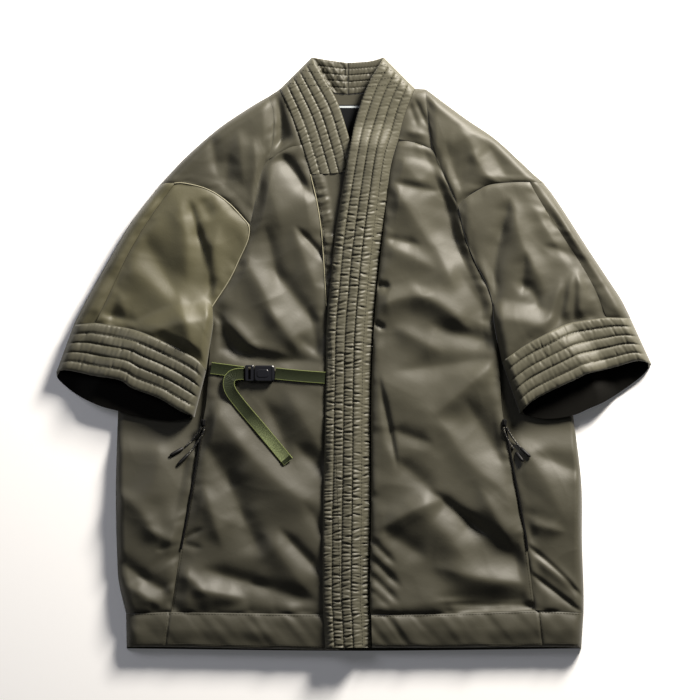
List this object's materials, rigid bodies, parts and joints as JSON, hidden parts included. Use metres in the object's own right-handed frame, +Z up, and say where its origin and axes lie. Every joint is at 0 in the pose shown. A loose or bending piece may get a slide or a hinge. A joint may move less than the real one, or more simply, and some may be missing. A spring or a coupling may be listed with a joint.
{
  "type": "padded taoist robe",
  "caption": "Short padded wrap-front robe with wide elbow sleeves and a quilted collar band, laid flat with its front up.",
  "frame": {"origin": "centre of the garment's outline on the surface it lies on", "axes": "+Z up from the surface, +Y from the hem to the neck, +X to the wearer's left"},
  "size_m": [0.7615, 0.7596, 0.0369],
  "materials": {
    "nylon": "padded olive nylon with a soft satin sheen",
    "webbing": "woven green webbing",
    "buckle": "moulded near-black acetal",
    "zip": "black coil zip and tape",
    "cord": "black braided cord with pale flecks",
    "cord_end": "moulded black cord end",
    "label": "bare woven label"
  },
  "bodies": {
    "root": {"back": "nylon", "hem_back": "nylon", "shoulder_back_right": "nylon", "shoulder_front_right": "nylon", "sleeve_front_right": "nylon", "sleeve_back_right": "nylon", "cuff_right": "nylon", "shoulder_back_left": "nylon", "shoulder_front_left": "nylon", "sleeve_front_left": "nylon", "sleeve_back_left": "nylon", "cuff_left": "nylon", "side_right": "nylon", "side_left": "nylon", "front_right": "nylon", "front_left": "nylon", "hem_right": "nylon", "hem_left": "nylon", "yoke_right": "nylon", "yoke_left": "nylon", "collar_back_right": "nylon", "collar_back_left": "nylon", "lapel_right": "nylon", "strip_right": "nylon", "band_left": "nylon", "label": "label", "buckle_male": "buckle", "buckle_female": "buckle", "strap_side": "webbing", "strap_band": "webbing", "strap_tail": "webbing", "zip_right": "zip", "zip_slider_right": "zip", "pull_cord_right_a": "cord", "cord_end_right_a": "cord_end", "pull_cord_right_b": "cord", "cord_end_right_b": "cord_end", "zip_left": "zip", "zip_slider_left": "zip", "pull_cord_left_a": "cord", "cord_end_left_a": "cord_end", "pull_cord_left_b": "cord", "cord_end_left_b": "cord_end"}
  },
  "joints": []
}
